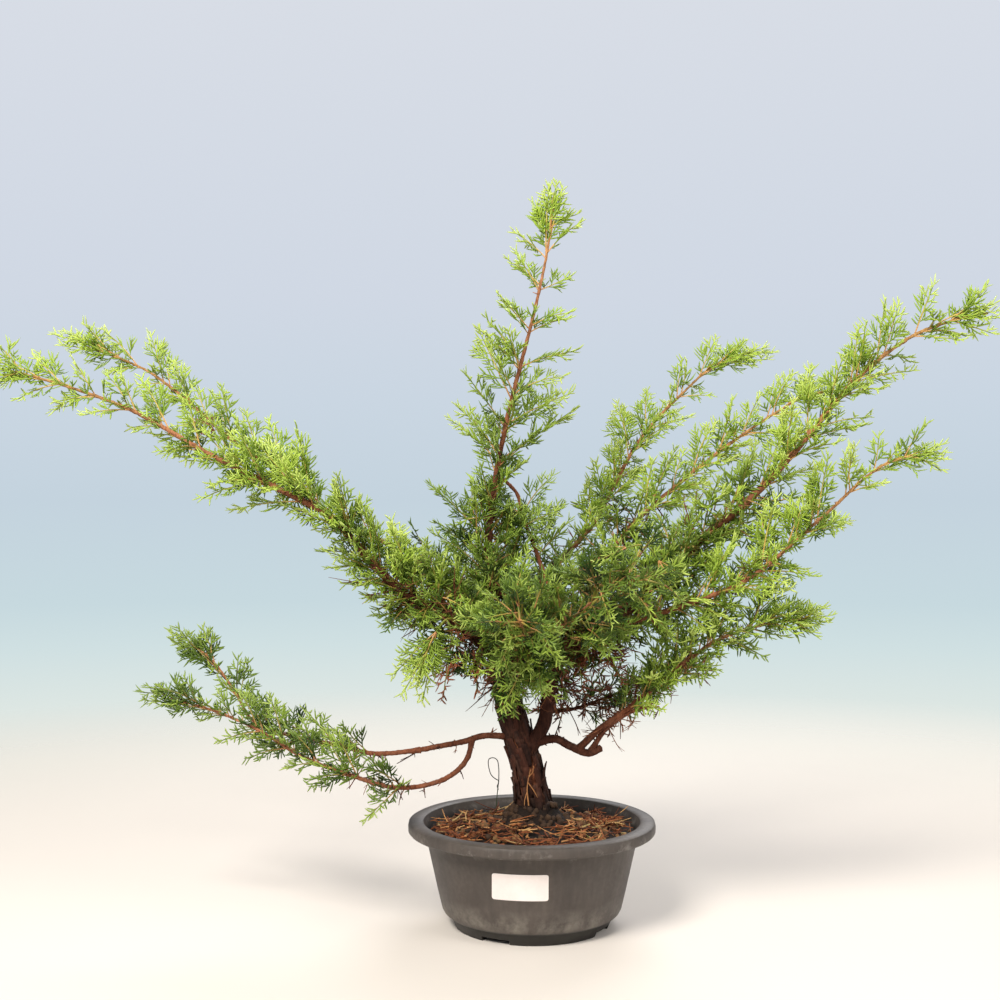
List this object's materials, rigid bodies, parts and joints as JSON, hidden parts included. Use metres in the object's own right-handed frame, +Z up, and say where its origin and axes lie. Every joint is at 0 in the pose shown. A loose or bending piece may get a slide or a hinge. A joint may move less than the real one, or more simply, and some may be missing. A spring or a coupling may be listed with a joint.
{
  "type": "bonsai tree in a pot",
  "caption": "Young juniper bonsai with long upswept branches of scale-leaf sprays, growing in a round dark plastic training pot of soil.",
  "frame": {"origin": "middle of the pot's underside, where its centre pad meets the table", "axes": "+Z up, +X to the right of the front view along the long spread of the branches, +Y to the back"},
  "size_m": [0.8261, 0.3273, 0.6243],
  "materials": {
    "pot_plastic": "moulded dark grey plastic, satin, dusty scuffs",
    "screen_plastic": "black plastic net",
    "soil": "dark moist soil with clay grains",
    "dry_litter": "dry orange-brown needles and twigs",
    "label_paper": "blank off-white coated label",
    "wire": "dull thin steel wire",
    "bark": "flaking red-brown bark",
    "foliage": "soft green scale-leaf sprays"
  },
  "bodies": {
    "root": {"caught_twig": "dry_litter", "drain_screen_1": "screen_plastic", "drain_screen_2": "screen_plastic", "drain_screen_3": "screen_plastic", "drain_screen_4": "screen_plastic", "front_branch": "bark", "label": "label_paper", "leader": "bark", "left_cut_branch": "bark", "left_high_branch": "bark", "left_low_branch": "bark", "litter_left": "dry_litter", "litter_right": "dry_litter", "pot": "pot_plastic", "potting_soil": "soil", "rear_branch": "bark", "right_high_branch": "bark", "right_inner_branch": "bark", "right_low_branch": "bark", "right_middle_branch": "bark", "right_outer_branch": "bark", "right_rear_branch": "bark", "right_stem": "bark", "sprays_crown_front": "foliage", "sprays_crown_front_right": "foliage", "sprays_crown_left": "foliage", "sprays_crown_rear": "foliage", "sprays_crown_rear_left": "foliage", "sprays_crown_rear_right": "foliage", "sprays_crown_right": "foliage", "sprays_leader_lower": "foliage", "sprays_leader_middle": "foliage", "sprays_leader_top": "foliage", "sprays_leader_upper": "foliage", "sprays_left_high_inner": "foliage", "sprays_left_high_middle": "foliage", "sprays_left_high_outer": "foliage", "sprays_left_high_rear": "foliage", "sprays_left_high_rear_tip": "foliage", "sprays_left_high_tip": "foliage", "sprays_left_high_under": "foliage", "sprays_left_low_inner": "foliage", "sprays_left_low_main": "foliage", "sprays_left_low_middle": "foliage", "sprays_left_low_outer": "foliage", "sprays_left_low_tip": "foliage", "sprays_left_low_under": "foliage", "sprays_right_high_inner": "foliage", "sprays_right_high_middle": "foliage", "sprays_right_high_tip": "foliage", "sprays_right_inner": "foliage", "sprays_right_low": "foliage", "sprays_right_middle": "foliage", "sprays_right_middle_tip": "foliage", "sprays_right_outer": "foliage", "sprays_right_outer_tip": "foliage", "sprays_right_rear_inner": "foliage", "sprays_right_rear_tip": "foliage", "tag_wire": "wire", "trunk": "bark"}
  },
  "joints": []
}
